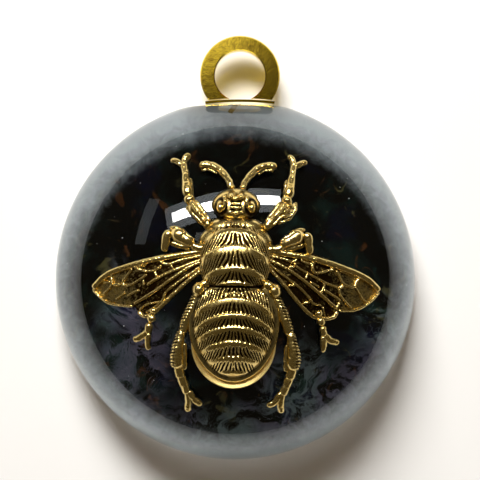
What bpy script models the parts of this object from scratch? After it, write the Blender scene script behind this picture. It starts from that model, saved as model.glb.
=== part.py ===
"""Hanging ornament: a clear resin dome with marbled paper on its flat back, a brass bee fixed on
its front, and a brass ring on a saddle plate and a slanting pin at the top of its rim.

Metres, +Z up. The front faces -Y. The origin is the hang point, at the top of the ring's hole and
halfway through the ring's thickness.
"""

import math

import bmesh
import bpy
from mathutils import Matrix, Vector

for old in list(bpy.data.objects):
    bpy.data.objects.remove(old, do_unlink=True)

# Driving dimensions
MM = 0.001
GAP = 0.3 * MM  # clearance that glued pieces keep here

DOME_R = 38.0 * MM  # radius of the flat back
DOME_RISE = 24.0 * MM  # the curved front is half an ellipsoid of this height
RIM = 1.0 * MM  # straight wall between the back and the curved front
BACK_Y = 3.5 * MM  # plane of the resin's flat back
PAPER_THICK = 0.4 * MM

RING_R = 8.35 * MM
HOLE_R = 5.3 * MM
RING_THICK = 3.0 * MM
RING_EDGE = 0.25 * MM  # bevel of the ring's edges
RING_X = 1.0 * MM  # the ring stands this far right of the dome's axis
RING_ABOVE_DISC = 42.76 * MM  # from the dome's centre to the ring's centre

FLAT_AT = 36.46 * MM  # height of the flat ground on the rim, above the dome's centre
PLATE_HALF = 7.2 * MM
PLATE_DEEP = 4.6 * MM
PLATE_THICK = 0.55 * MM
PLATE_ARCH = 0.4 * MM  # the plate's middle stands this much higher than its ends

PIN_R = 0.5 * MM
PIN_DEEP = 5.4 * MM  # how far the pin reaches below the flat
PIN_LEAN = math.radians(26)
PIN_X = 0.4 * MM  # the pin is drilled in this far right of the middle of the ring

BEE_ROLL = math.radians(1.0)  # the bee is fixed turned by this, clockwise from the front

DISC = Vector((-RING_X, 0, -HOLE_R - RING_ABOVE_DISC))  # the dome's centre, in the ring's plane
RING_Z = -HOLE_R

BRASS = (0.60, 0.42, 0.14)
POLISHED_BRASS = (0.72, 0.50, 0.13)


def material(name, colour, rough, metal=0.0, transmission=0.0):
    made = bpy.data.materials.new(name)
    made.use_nodes = True
    shader = made.node_tree.nodes["Principled BSDF"]
    shader.inputs["Base Color"].default_value = (*colour, 1)
    shader.inputs["Roughness"].default_value = rough
    shader.inputs["Metallic"].default_value = metal
    shader.inputs["Transmission Weight"].default_value = transmission
    return made


def add_object(name, bm, finish=None, crease=35):
    """A new object from a bmesh, which it frees. Without a finish it is a helper that isn't shown."""
    bmesh.ops.recalc_face_normals(bm, faces=bm.faces)
    if bm.calc_volume(signed=True) < 0:
        bmesh.ops.reverse_faces(bm, faces=bm.faces)
    mesh = bpy.data.meshes.new(name)
    bm.to_mesh(mesh)
    bm.free()
    mesh.shade_smooth()
    mesh.set_sharp_from_angle(angle=math.radians(crease))
    obj = bpy.data.objects.new(name, mesh)
    bpy.context.scene.collection.objects.link(obj)
    if finish:
        mesh.materials.append(finish)
    else:
        obj.hide_render = True
        obj.display_type = "WIRE"
    return obj


def boolean(obj, other, operation):
    cut = obj.modifiers.new(f"{operation.title()}_{other.name}", "BOOLEAN")
    cut.operation = operation
    cut.object = other
    cut.solver = "EXACT"


def turned(profile, segments, centre):
    """A solid turned about the Y axis through centre. The profile's (radius, y) points run from
    axis to axis."""
    bm = bmesh.new()
    rings = []
    for radius, y in profile:
        if radius < 1e-7:
            rings.append([bm.verts.new(centre + Vector((0, y, 0)))])
            continue
        angles = [2 * math.pi * i / segments for i in range(segments)]
        places = [Vector((radius * math.cos(a), y, radius * math.sin(a))) for a in angles]
        rings.append([bm.verts.new(centre + place) for place in places])
    for first, second in zip(rings, rings[1:]):
        for i in range(segments):
            j = (i + 1) % segments
            corners = [first[i % len(first)], first[j % len(first)]]
            corners += [second[j % len(second)], second[i % len(second)]]
            bm.faces.new(dict.fromkeys(corners))
    return bm


def dome_profile(steps, grow=0.0):
    """(radius, y) from the middle of the back, round the rim and over the front to its top."""
    radius, rise = DOME_R + grow, DOME_RISE + grow
    rim_y = BACK_Y - RIM
    points = [(0, BACK_Y + grow), (radius, BACK_Y + grow)]
    for i in range(steps + 1):
        turn = math.pi / 2 * i / steps
        points.append((radius * math.cos(turn), rim_y - rise * math.sin(turn)))
    points[-1] = (0, rim_y - rise)
    return points


def dome_y(x, z):
    """y of the dome's front at a place given from the dome's centre."""
    share = min((x * x + z * z) / DOME_R**2, 0.98)
    return BACK_Y - RIM - DOME_RISE * math.sqrt(1 - share)


def on_dome(x, z, lift=0.0):
    """A point over the dome's front, at the given height along the surface's normal."""
    y = dome_y(x, z)
    depth = BACK_Y - RIM - y
    normal = Vector((x / DOME_R**2, -depth / DOME_RISE**2, z / DOME_R**2)).normalized()
    return Vector((x, y, z)) + normal * lift, normal


# The resin dome, with the flat on its rim and the hole drilled for the pin

resin = material("clear_resin", (0.97, 0.98, 0.98), 0.03, transmission=1.0)
dome = add_object("resin_dome", turned(dome_profile(14), 80, DISC), resin)


def box(low, high):
    bm = bmesh.new()
    size = Vector(high) - Vector(low)
    middle = (Vector(high) + Vector(low)) / 2
    bmesh.ops.create_cube(bm, size=1, matrix=Matrix.Translation(middle) @ Matrix.Diagonal((*size, 1)))
    return bm


flat_z = DISC.z + FLAT_AT
flat_cutter = add_object(
    "flat_cutter",
    box((-DOME_R, -DOME_R, flat_z), (DOME_R, DOME_R, flat_z + 5 * MM)),
)
boolean(dome, flat_cutter, "DIFFERENCE")

pin_top = Vector((PIN_X, 0, flat_z + GAP))
pin_way = Vector((-math.sin(PIN_LEAN), 0, -math.cos(PIN_LEAN)))


def pin_solid(radius, above, below):
    """A round rod along the pin's line, from above its top to below it."""
    bm = bmesh.new()
    bmesh.ops.create_cone(bm, cap_ends=True, segments=16, radius1=radius, radius2=radius, depth=1)
    turn = pin_way.to_track_quat("Z", "Y").to_matrix().to_4x4()
    middle = pin_top + pin_way * (below - above) / 2
    bm.transform(Matrix.Translation(middle) @ turn @ Matrix.Diagonal((1, 1, above + below, 1)))
    return bm


pin_cutter = add_object("pin_cutter", pin_solid(PIN_R + GAP, 2 * MM, PIN_DEEP + 2 * GAP))
boolean(dome, pin_cutter, "DIFFERENCE")
add_object("hanger_pin", pin_solid(PIN_R, 0, PIN_DEEP), material("pin_brass", BRASS, 0.4, 1.0))


# The paper disc on the flat back, cut flat at the top like the resin

paper_front = BACK_Y + GAP
paper_profile = [(0, paper_front), (DOME_R, paper_front)]
paper_profile += [(DOME_R, paper_front + PAPER_THICK), (0, paper_front + PAPER_THICK)]
paper = add_object(
    "marbled_paper",
    turned(paper_profile, 80, DISC),
    material("marbled_paper", (0.03, 0.04, 0.05), 0.6),
)
boolean(paper, flat_cutter, "DIFFERENCE")


# The hanger: an arched plate on the flat, and a flat ring whose foot follows the plate

PLATE_R = (PLATE_HALF**2 + PLATE_ARCH**2) / (2 * PLATE_ARCH)  # radius of the plate's arch
plate_crown = flat_z + GAP + PLATE_ARCH + PLATE_THICK
plate_centre = Vector((0, 0, plate_crown - PLATE_THICK - PLATE_R))


def arched_slab(low, high, half_width, depth, steps):
    """A slab that follows the plate's arch, between two heights above the plate's underside."""
    bm = bmesh.new()
    reach = math.asin(half_width / (PLATE_R + low))
    outline = []
    for level, order in ((low, 1), (high, -1)):
        angles = [order * reach * (2 * i / steps - 1) for i in range(steps + 1)]
        outline += [(PLATE_R + level, angle) for angle in angles]
    places = [
        plate_centre + Vector((r * math.sin(a), -depth / 2, r * math.cos(a))) for r, a in outline
    ]
    face = bm.faces.new([bm.verts.new(place) for place in places])
    pulled = bmesh.ops.extrude_face_region(bm, geom=[face])["geom"]
    moved = [item for item in pulled if isinstance(item, bmesh.types.BMVert)]
    bmesh.ops.translate(bm, verts=moved, vec=(0, depth, 0))
    return bm


polished = material("polished_brass", POLISHED_BRASS, 0.18, 1.0)
add_object("hanger_plate", arched_slab(0, PLATE_THICK, PLATE_HALF, PLATE_DEEP, 14), polished)

half = RING_THICK / 2
ring_profile = [
    (HOLE_R, half - RING_EDGE),
    (HOLE_R + RING_EDGE, half),
    (RING_R - RING_EDGE, half),
    (RING_R, half - RING_EDGE),
]
ring_profile += [(radius, -y) for radius, y in reversed(ring_profile)]
ring_profile.append(ring_profile[0])
ring_bm = turned(ring_profile, 56, Vector((0, 0, RING_Z)))
bmesh.ops.remove_doubles(ring_bm, verts=ring_bm.verts, dist=1e-6)
ring = add_object("hanger_ring", ring_bm, polished)
foot_cutter = add_object(
    "foot_cutter",
    arched_slab(-4 * MM, PLATE_THICK + GAP, PLATE_HALF + 3 * MM, 8 * MM, 20),
)
boolean(ring, foot_cutter, "DIFFERENCE")


# The bee. Places are (x, z) in millimetres from the dome's centre, for the right-hand side, and a
# height is measured from the dome's surface. Every piece of it runs into the next, and the whole
# is hollowed to sit on the dome.

bee_place = Matrix.Translation(DISC) @ Matrix.Rotation(BEE_ROLL, 4, "Y")
bee_pieces = []


def bee_piece(name, bm, mirrored=True):
    """Adds a helper solid of the bee, and its mirror image on the left."""
    sides = (1, -1) if mirrored else (1,)
    for side in sides:
        copy = bm.copy()
        copy.transform(bee_place @ Matrix.Diagonal((side, 1, 1, 1)))
        suffix = "_left" if side < 0 else ""
        bee_pieces.append(add_object(f"shape_{name}{suffix}", copy))
    bm.free()


def body_solid(x, z, half_width, half_length, height, widest=0.0, power=1.0, segments=28, rings=14):
    """An egg lying on the dome at (x, z). Widest moves its broad part along its length, and a
    power under 1 gives it steeper sides."""
    bm = bmesh.new()
    bmesh.ops.create_uvsphere(bm, u_segments=segments, v_segments=rings, radius=1)
    place, normal = on_dome(x * MM, z * MM)
    for vert in bm.verts:
        broad = 1 + widest * vert.co.z
        out = abs(vert.co.y) ** power
        vert.co.x *= half_width * MM * broad
        vert.co.y = math.copysign(out, vert.co.y) * height * MM
        vert.co.z *= half_length * MM
    turn = (-normal).to_track_quat("Y", "Z").to_matrix().to_4x4()
    bm.transform(Matrix.Translation(place) @ turn)
    return bm


def limb(points, sides=8, flat=0.85):
    """A tapering round bar over the dome, through (x, z, radius, height) points in millimetres.
    Its ends are drawn in to half the radius."""
    places = []
    for x, z, radius, lift in points:
        place, normal = on_dome(x * MM, z * MM, lift * MM)
        places.append((place, normal, radius * MM))
    first, last = places[0], places[-1]
    start_way = (places[1][0] - first[0]).normalized()
    end_way = (last[0] - places[-2][0]).normalized()
    places.insert(0, (first[0] - start_way * first[2] * 0.6, first[1], first[2] * 0.5))
    places.append((last[0] + end_way * last[2] * 0.6, last[1], last[2] * 0.5))
    bm = bmesh.new()
    loops = []
    for i, (place, normal, radius) in enumerate(places):
        before, after = places[max(i - 1, 0)][0], places[min(i + 1, len(places) - 1)][0]
        along = (after - before).normalized()
        across = along.cross(normal).normalized()
        up = across.cross(along)
        loop = []
        for step in range(sides):
            angle = 2 * math.pi * (step + 0.5) / sides
            out = across * math.cos(angle) + up * math.sin(angle) * flat
            loop.append(bm.verts.new(place + out * radius))
        loops.append(loop)
    for one, two in zip(loops, loops[1:]):
        for i in range(sides):
            j = (i + 1) % sides
            bm.faces.new((one[i], one[j], two[j], two[i]))
    bm.faces.new(loops[0][::-1])
    bm.faces.new(loops[-1])
    return bm


def wing(leading, trailing, thick, lift, across=5):
    """A plate over the dome between two edges with as many (x, z) points each, in millimetres."""
    bm = bmesh.new()
    layers = []
    for height in (lift + thick, lift):
        rows = []
        for (x0, z0), (x1, z1) in zip(leading, trailing):
            row = []
            for step in range(across + 1):
                share = step / across
                x, z = x0 + (x1 - x0) * share, z0 + (z1 - z0) * share
                row.append(bm.verts.new(on_dome(x * MM, z * MM, height * MM)[0]))
            rows.append(row)
        layers.append(rows)
    for rows in layers:
        for one, two in zip(rows, rows[1:]):
            for i in range(across):
                bm.faces.new((one[i], one[i + 1], two[i + 1], two[i]))
    top, under = layers
    rims = [[row[0] for row in layer] for layer in layers]
    rims += [[row[-1] for row in layer] for layer in layers]
    rims += [top[0], under[0], top[-1], under[-1]]
    for upper, lower in zip(rims[::2], rims[1::2]):
        for i in range(len(upper) - 1):
            bm.faces.new((upper[i], upper[i + 1], lower[i + 1], lower[i]))
    return bm


bee_piece("abdomen", body_solid(0, -9.0, 7.7, 10.3, 5.7, widest=0.08, power=0.9), False)
bee_piece("abdomen_edge", body_solid(0, -11.1, 8.5, 9.9, 1.9, widest=0.1, power=0.5), False)
bee_piece("thorax", body_solid(0, 3.9, 6.9, 8.4, 5.6), False)
bee_piece("collar", body_solid(0, 7.9, 7.4, 2.5, 3.6, segments=20, rings=10), False)
bee_piece("head", body_solid(0, 15.9, 4.7, 3.5, 4.6, segments=24, rings=12), False)
bee_piece("neck", body_solid(0, 12.4, 3.0, 2.0, 3.0, segments=16, rings=8), False)
bee_piece("eye", body_solid(3.3, 14.9, 1.3, 1.6, 4.2, segments=12, rings=8))

ANTENNA = [
    (1.0, 17.6, 0.6, 2.6),
    (1.4, 19.2, 0.6, 2.4),
    (2.4, 20.9, 0.6, 1.9),
    (3.8, 22.4, 0.6, 1.5),
    (5.3, 23.3, 0.6, 1.3),
    (6.7, 23.6, 0.6, 1.1),
    (7.5, 23.3, 0.6, 1.0),
]
bee_piece("antenna", limb(ANTENNA))

FRONT_LEG = [
    (4.6, 9.4, 1.0, 1.2),
    (6.2, 11.6, 1.0, 1.4),
    (8.4, 14.1, 1.0, 1.5),
    (9.7, 15.8, 1.1, 1.4),
    (9.9, 17.2, 0.8, 1.2),
    (10.1, 18.6, 0.85, 1.1),
    (10.3, 20.8, 0.75, 0.9),
    (10.7, 22.4, 0.6, 0.8),
    (11.1, 23.6, 0.6, 0.8),
]
bee_piece("front_leg", limb(FRONT_LEG))
bee_piece("front_claw_out", limb([(10.9, 23.0, 0.5, 0.8), (12.3, 24.1, 0.5, 0.7), (13.6, 24.4, 0.5, 0.7)]))
bee_piece("front_claw_in", limb([(11.0, 23.2, 0.5, 0.8), (10.6, 24.4, 0.5, 0.8), (10.0, 25.3, 0.5, 0.7)]))

MID_KNEE = [
    (5.4, 7.0, 1.1, 1.2),
    (7.5, 7.5, 1.0, 1.4),
    (9.8, 8.9, 1.1, 1.6),
    (11.8, 9.4, 1.2, 1.6),
    (13.5, 8.5, 1.1, 1.4),
    (14.4, 6.2, 0.9, 1.0),
    (14.8, 4.6, 0.9, 0.9),
]
bee_piece("mid_knee", limb(MID_KNEE))
bee_piece("mid_foot", limb([(15.9, -5.2, 0.8, 0.8), (16.5, -7.6, 0.7, 0.8), (17.1, -10.7, 0.65, 0.8)]))
bee_piece("mid_claw_out", limb([(16.8, -10.0, 0.55, 0.8), (18.5, -11.2, 0.55, 0.8), (20.3, -11.8, 0.5, 0.7)]))
bee_piece("mid_claw_in", limb([(16.9, -10.0, 0.55, 0.8), (17.1, -12.0, 0.55, 0.8), (17.0, -13.8, 0.55, 0.7)]))

HIND_LEG = [
    (3.6, 0.8, 0.9, 1.0),
    (5.8, -0.6, 0.9, 1.1),
    (7.2, -1.6, 1.0, 1.2),
    (7.6, -3.0, 0.8, 1.1),
    (8.8, -4.4, 0.8, 1.0),
    (10.3, -8.3, 1.0, 1.1),
    (10.8, -10.9, 1.1, 1.1),
    (11.0, -14.4, 1.2, 1.1),
    (11.0, -16.9, 1.3, 1.1),
    (10.4, -19.3, 1.0, 0.9),
    (9.6, -21.7, 0.8, 0.8),
]
bee_piece("hind_leg", limb(HIND_LEG))
bee_piece("hind_claw_in", limb([(9.7, -21.4, 0.6, 0.8), (8.2, -23.6, 0.6, 0.8), (6.3, -24.6, 0.6, 0.7)]))
bee_piece("hind_claw_out", limb([(9.6, -21.6, 0.6, 0.8), (9.1, -23.8, 0.6, 0.8), (9.4, -26.0, 0.6, 0.7)]))

FORE_LEADING = [(5.0, 5.9), (8.0, 6.3), (11.0, 5.9), (14.5, 5.3), (17.5, 4.5), (20.2, 3.5)]
FORE_LEADING += [(22.8, 2.4), (25.2, 1.1), (27.3, -0.3), (28.5, -1.3)]
FORE_TRAILING = [(5.0, 2.4), (7.6, 1.2), (10.2, -1.2), (13.2, -3.6), (16.2, -4.9), (19.2, -5.4)]
FORE_TRAILING += [(21.7, -5.4), (24.2, -4.9), (26.6, -3.8), (28.2, -2.6)]
bee_piece("forewing", wing(FORE_LEADING, FORE_TRAILING, 1.0, 0.1))

HIND_LEADING = [(7.0, 2.6), (9.6, 0.6), (12.4, -1.0), (15.2, -2.6), (17.8, -4.2), (19.8, -5.2)]
HIND_TRAILING = [(7.2, 1.2), (9.8, -1.0), (11.9, -3.2), (14.0, -5.4), (16.2, -7.0), (18.6, -6.5)]
bee_piece("hindwing", wing(HIND_LEADING, HIND_TRAILING, 0.8, 0.1, across=3))

# One body from all of these, then the dome's shape and the gap are taken out of its underside
bee = bee_pieces[0].copy()
bee.data = bee_pieces[0].data.copy()
bee.name = "bee"
bee.hide_render = False
bee.display_type = "TEXTURED"
bpy.context.scene.collection.objects.link(bee)
bee.data.materials.append(material("antiqued_brass", BRASS, 0.32, 1.0))
for piece in bee_pieces[1:]:
    boolean(bee, piece, "UNION")
seat_cutter = add_object("seat_cutter", turned(dome_profile(16, grow=GAP), 72, DISC))
boolean(bee, seat_cutter, "DIFFERENCE")
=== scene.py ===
import math
import random

import bmesh
import bpy
from mathutils import Matrix, Vector


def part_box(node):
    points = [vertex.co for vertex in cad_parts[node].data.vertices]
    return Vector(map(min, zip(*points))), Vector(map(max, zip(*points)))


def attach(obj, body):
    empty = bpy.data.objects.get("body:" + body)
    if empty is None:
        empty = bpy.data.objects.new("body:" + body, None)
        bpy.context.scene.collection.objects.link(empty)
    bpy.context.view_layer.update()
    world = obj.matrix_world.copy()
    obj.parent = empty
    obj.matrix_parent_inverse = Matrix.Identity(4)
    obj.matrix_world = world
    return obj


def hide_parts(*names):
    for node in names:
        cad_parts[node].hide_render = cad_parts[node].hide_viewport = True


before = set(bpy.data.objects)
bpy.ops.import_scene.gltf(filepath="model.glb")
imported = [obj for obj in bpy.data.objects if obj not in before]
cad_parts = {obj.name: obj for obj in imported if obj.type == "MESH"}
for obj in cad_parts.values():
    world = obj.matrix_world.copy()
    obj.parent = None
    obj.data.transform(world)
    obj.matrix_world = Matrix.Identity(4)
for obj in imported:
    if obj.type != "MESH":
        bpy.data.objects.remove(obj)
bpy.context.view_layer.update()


# ---- Resin dome -----------------------------------------------------------------------------
# A clear casting with a flat back and a half-ellipsoid front, polished all over. A small flat is
# ground on the top of its rim for the hanger, and a few specks of dust sit on its front.

MM = 0.001
dome_low, dome_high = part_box("resin_dome")
paper_low, paper_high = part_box("marbled_paper")

DOME_R = (dome_high.x - dome_low.x) / 2
RIM_STRAIGHT = 1.0 * MM
RIM_Y = dome_high.y - RIM_STRAIGHT  # where the straight rim ends and the curved front begins
DOME_RISE = RIM_Y - dome_low.y
WETTING = 0.05 * MM  # the resin wets the paper, so there is no air between them
DOME_BACK = paper_low.y + WETTING
FLAT_Z = dome_high.z
DISC = Vector((dome_low.x + DOME_R, 0, dome_low.z + DOME_R))


class Wire:
    """A value on its way through a node tree. Arithmetic on it adds the Math nodes."""

    def __init__(self, tree, socket):
        self.tree = tree
        self.socket = socket

    def math(self, operation, *others, first=None):
        node = self.tree.nodes.new("ShaderNodeMath")
        node.operation = operation
        values = (self, *others) if first is None else (first, self)
        for number, value in enumerate(values):
            feed(node.inputs[number], value)
        return Wire(self.tree, node.outputs[0])

    def __add__(self, other):
        return self.math("ADD", other)

    def __sub__(self, other):
        return self.math("SUBTRACT", other)

    def __rsub__(self, other):
        return self.math("SUBTRACT", first=other)

    def __mul__(self, other):
        return self.math("MULTIPLY", other)

    def __truediv__(self, other):
        return self.math("DIVIDE", other)

    def __pow__(self, other):
        return self.math("POWER", other)

    __radd__ = __add__
    __rmul__ = __mul__


def feed(socket, value):
    """Gives an input its value: a plain one, or a wire from another node."""
    if isinstance(value, Wire):
        value.tree.links.new(value.socket, socket)
    else:
        socket.default_value = value


def add_node(tree, kind, inputs=None, **settings):
    node = tree.nodes.new(kind)
    for name, value in settings.items():
        setattr(node, name, value)
    for name, value in (inputs or {}).items():
        feed(node.inputs[name], value)
    return node


def out(node, name=0):
    return Wire(node.id_data, node.outputs[name])


def smooth(value, low, high):
    """0 below low, 1 above high, and an even ramp between them."""
    inputs = {"Value": value, "From Min": low, "From Max": high}
    return out(add_node(value.tree, "ShaderNodeMapRange", inputs, interpolation_type="SMOOTHSTEP"))


def shape_tree(name, sizes):
    """A Geometry Nodes tree with a named input for each size, and the wires from those inputs."""
    tree = bpy.data.node_groups.new(name, "GeometryNodeTree")
    kinds = {"Geometry": "NodeSocketGeometry", "Material": "NodeSocketMaterial"}
    for label in ("Geometry", "Material", *sizes):
        kind = kinds.get(label, "NodeSocketFloat")
        tree.interface.new_socket(label, in_out="INPUT", socket_type=kind)
    tree.interface.new_socket("Geometry", in_out="OUTPUT", socket_type="NodeSocketGeometry")
    entry = tree.nodes.new("NodeGroupInput")
    return tree, {socket.name: Wire(tree, socket) for socket in entry.outputs if socket.name}


def end_tree(tree, geometry, material):
    whole = add_node(tree, "GeometryNodeRealizeInstances", {"Geometry": geometry})
    rounded = add_node(tree, "GeometryNodeSetShadeSmooth", {"Geometry": out(whole)})
    inputs = {"Geometry": out(rounded), "Material": material}
    finished = add_node(tree, "GeometryNodeSetMaterial", inputs)
    feed(tree.nodes.new("NodeGroupOutput").inputs["Geometry"], out(finished))


def place_of(tree):
    """The x, y and z of a point."""
    position = out(add_node(tree, "GeometryNodeInputPosition"))
    apart = add_node(tree, "ShaderNodeSeparateXYZ", {"Vector": position})
    return [out(apart, name) for name in "XYZ"]


def put(tree, geometry, x, y, z):
    """Moves each point to a new place."""
    place = out(add_node(tree, "ShaderNodeCombineXYZ", {"X": x, "Y": y, "Z": z}))
    inputs = {"Geometry": geometry, "Position": place}
    return out(add_node(tree, "GeometryNodeSetPosition", inputs))


def tidy_mesh(mesh, merge=1e-7):
    """Merges doubles and turns the faces of a closed mesh outwards."""
    bm = bmesh.new()
    bm.from_mesh(mesh)
    bmesh.ops.remove_doubles(bm, verts=bm.verts, dist=merge)
    bmesh.ops.dissolve_degenerate(bm, edges=bm.edges, dist=merge)
    bmesh.ops.recalc_face_normals(bm, faces=bm.faces)
    if bm.calc_volume(signed=True) < 0:
        bmesh.ops.reverse_faces(bm, faces=bm.faces)
    bm.to_mesh(mesh)
    bm.free()


def make_piece(name, tree, material, sizes, base=None, place=None, crease=None):
    """The plain mesh object that a tree makes with these sizes."""
    base = base or bpy.data.objects.new(name + "_base", bpy.data.meshes.new(name + "_base"))
    bpy.context.scene.collection.objects.link(base)
    shape = base.modifiers.new("Shape", "NODES")
    shape.node_group = tree
    sockets = [item for item in tree.interface.items_tree if item.in_out == "INPUT"]
    names = {item.name: item.identifier for item in sockets}
    for label, value in {"Material": material, **sizes}.items():
        shape[names[label]] = value
    depsgraph = bpy.context.evaluated_depsgraph_get()
    mesh = bpy.data.meshes.new_from_object(
        base.evaluated_get(depsgraph), preserve_all_data_layers=True, depsgraph=depsgraph
    )
    bpy.data.objects.remove(base)
    if place:
        mesh.transform(place)
    tidy_mesh(mesh)
    mesh.name = name
    mesh.materials.clear()
    mesh.materials.append(material)
    mesh.polygons.foreach_set("material_index", [0] * len(mesh.polygons))
    if crease:
        mesh.set_sharp_from_angle(angle=math.radians(crease))
    piece = bpy.data.objects.new(name, mesh)
    bpy.context.scene.collection.objects.link(piece)
    return piece


def fix(piece, node):
    """The piece rides on the only body and stands for its CAD node, which is hidden."""
    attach(piece, "root")
    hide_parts(node)


def turned_tree(name, rings, segments=256):
    """A disc turned about the Y axis: flat back, straight rim, and an elliptical front of so many
    rings. Nothing of it stands above the flat."""
    sizes = ["Radius", "Back", "Rim Front", "Rise", "Middle X", "Middle Z", "Flat"]
    tree, size = shape_tree(name, sizes)
    rows = rings + 3
    inputs = {"Size X": 1.0, "Size Y": 1.0, "Vertices X": segments + 1, "Vertices Y": rows}
    sheet = out(add_node(tree, "GeometryNodeMeshGrid", inputs), "Mesh")
    x, y, _ = place_of(tree)
    turn = x * (2 * math.pi)
    row = (y + 0.5) * (rows - 1)
    front = ((row - 2) / rings).math("MAXIMUM", 0) * (math.pi / 2)
    radius = size["Radius"] * row.math("MINIMUM", 1) * front.math("COSINE")
    on_rim = (row - 1).math("MAXIMUM", 0).math("MINIMUM", 1)
    depth = size["Back"] - on_rim * (size["Back"] - size["Rim Front"])
    depth = depth - size["Rise"] * front.math("SINE")
    height = (size["Middle Z"] + radius * turn.math("COSINE")).math("MINIMUM", size["Flat"])
    sheet = put(tree, sheet, size["Middle X"] + radius * turn.math("SINE"), depth, height)
    end_tree(tree, sheet, size["Material"])
    return tree


def new_material(name, **values):
    """A material and its shader, with plain values on the shader's own sockets."""
    material = bpy.data.materials.new(name)
    material.use_nodes = True
    shader = material.node_tree.nodes["Principled BSDF"]
    for socket, value in values.items():
        shader.inputs[socket.replace("_", " ")].default_value = value
    return material, shader


def bump(shader, height, distance, strength=1.0):
    inputs = {"Height": height, "Distance": distance, "Strength": strength}
    feed(shader.inputs["Normal"], out(add_node(shader.id_data, "ShaderNodeBump", inputs)))


def noise(tree, spot, scale, detail=2.0, rough=0.5, twist=0.0):
    inputs = {"Vector": spot, "Scale": scale, "Detail": detail}
    inputs.update({"Roughness": rough, "Distortion": twist})
    return out(add_node(tree, "ShaderNodeTexNoise", inputs), "Fac")


def object_spot(tree):
    """Object coordinates in millimetres."""
    spot = out(add_node(tree, "ShaderNodeTexCoord"), "Object")
    scaled = add_node(tree, "ShaderNodeVectorMath", operation="SCALE")
    feed(scaled.inputs[0], spot)
    feed(scaled.inputs["Scale"], 1 / MM)
    return out(scaled)


WAVES_PER_MM = 0.11  # how closely the polished surface undulates
WAVE_HEIGHT = 0.02 * MM

resin, resin_shader = new_material(
    "clear_resin", Base_Color=(0.985, 0.99, 0.985, 1), Roughness=0.0, IOR=1.5, Transmission_Weight=1.0
)
waves = noise(resin.node_tree, object_spot(resin.node_tree), WAVES_PER_MM, 1.0)
bump(resin_shader, waves, WAVE_HEIGHT)

DOME_SIZES = {
    "Radius": DOME_R,
    "Back": DOME_BACK,
    "Rim Front": RIM_Y,
    "Rise": DOME_RISE,
    "Middle X": DISC.x,
    "Middle Z": DISC.z,
    "Flat": FLAT_Z,
}
dome = make_piece("resin_dome_clear", turned_tree("TurnedDome", 72), resin, DOME_SIZES, crease=40)

# The flat is left as the grinding wheel leaves it, matt and pale.
frosted, _ = new_material("ground_resin", Base_Color=(0.60, 0.61, 0.58, 1), Roughness=1.0)
dome.data.materials.append(frosted)
for face in dome.data.polygons:
    faces_up = face.normal.z > 0.99
    if faces_up and face.center.z > FLAT_Z - 0.01 * MM:
        face.material_index = 1
fix(dome, "resin_dome")

SPECKS = 40
SPECK_R = 0.09 * MM
DUSTY_R = DOME_R * 0.93  # no dust stays on the steep rim

dust, _ = new_material("dust", Base_Color=(0.75, 0.76, 0.74, 1), Roughness=0.9)
chance = random.Random(11)
dots = bmesh.new()
for _ in range(SPECKS):
    from_middle = DUSTY_R * math.sqrt(chance.random())
    bearing = chance.uniform(0, 2 * math.pi)
    landing = DISC + from_middle * Vector((math.cos(bearing), 0, math.sin(bearing)))
    landing.y = RIM_Y - DOME_RISE * math.sqrt(1 - (from_middle / DOME_R) ** 2)
    radius = SPECK_R * chance.uniform(0.4, 1.0)
    bmesh.ops.create_icosphere(dots, subdivisions=1, radius=radius, matrix=Matrix.Translation(landing))
dots_mesh = bpy.data.meshes.new("resin_dome_dust")
dots.to_mesh(dots_mesh)
dots.free()
dots_mesh.materials.append(dust)
specks = bpy.data.objects.new("resin_dome_dust", dots_mesh)
bpy.context.scene.collection.objects.link(specks)
fix(specks, "resin_dome")


# ---- Marbled paper --------------------------------------------------------------------------
# A disc of dark marbled paper, glued face down to the flat back and cut flush with the rim. The
# inks float in pools and combed swirls, and the reverse is left as plain cream paper.

INK_DEPTH = 0.1 * MM  # ink soaks in this far from the sheet's front
# Where the painted light towards the rim begins and where it is full
RIM_LIGHT_BEGINS = 0.73  # as shares of the disc's radius
RIM_LIGHT_FULL = 0.93

INK_BLACK = (0.0006, 0.0008, 0.001, 1)
INK_NAVY = (0.002, 0.003, 0.014, 1)
INK_TEAL = (0.005, 0.014, 0.012, 1)
INK_OLIVE = (0.030, 0.027, 0.010, 1)
INK_RUST = (0.030, 0.012, 0.004, 1)
# Pale haze and lilac veils: ink, and a painted reflection of light from below where they gather low on the
# sheet
HAZE_INK_AND_REFLECTION = (0.098, 0.125, 0.130, 1)
LILAC_INK_AND_REFLECTION = (0.090, 0.086, 0.120, 1)
RIM_LIGHT_GREY = (0.30, 0.34, 0.36, 1)  # painted light: the grey towards the rim, where the resin's rim reflects and lets through the wall's light
PAPER_CREAM = (0.80, 0.75, 0.64, 1)
PAPER_FIBRE = (0.86, 0.82, 0.72, 1)


def mix_colour(tree, share, first, second):
    node = add_node(tree, "ShaderNodeMix", data_type="RGBA")
    for number, value in ((0, share), (6, first), (7, second)):
        feed(node.inputs[number], value)
    return Wire(tree, node.outputs[2])


def shader_group(name, inputs, outputs):
    """A shader node group with named inputs and outputs. Both are {name: socket type}."""
    tree = bpy.data.node_groups.new(name, "ShaderNodeTree")
    for way, sockets in (("INPUT", inputs), ("OUTPUT", outputs)):
        for socket, kind in sockets.items():
            tree.interface.new_socket(socket, in_out=way, socket_type="NodeSocket" + kind)
    entry, leave = tree.nodes.new("NodeGroupInput"), tree.nodes.new("NodeGroupOutput")
    wires = {socket.name: Wire(tree, socket) for socket in entry.outputs if socket.name}
    return tree, wires, leave.inputs


def use_group(material, group, **inputs):
    node = add_node(material.node_tree, "ShaderNodeGroup", node_tree=group)
    for name, value in inputs.items():
        feed(node.inputs[name.replace("_", " ")], value)
    return node


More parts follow.
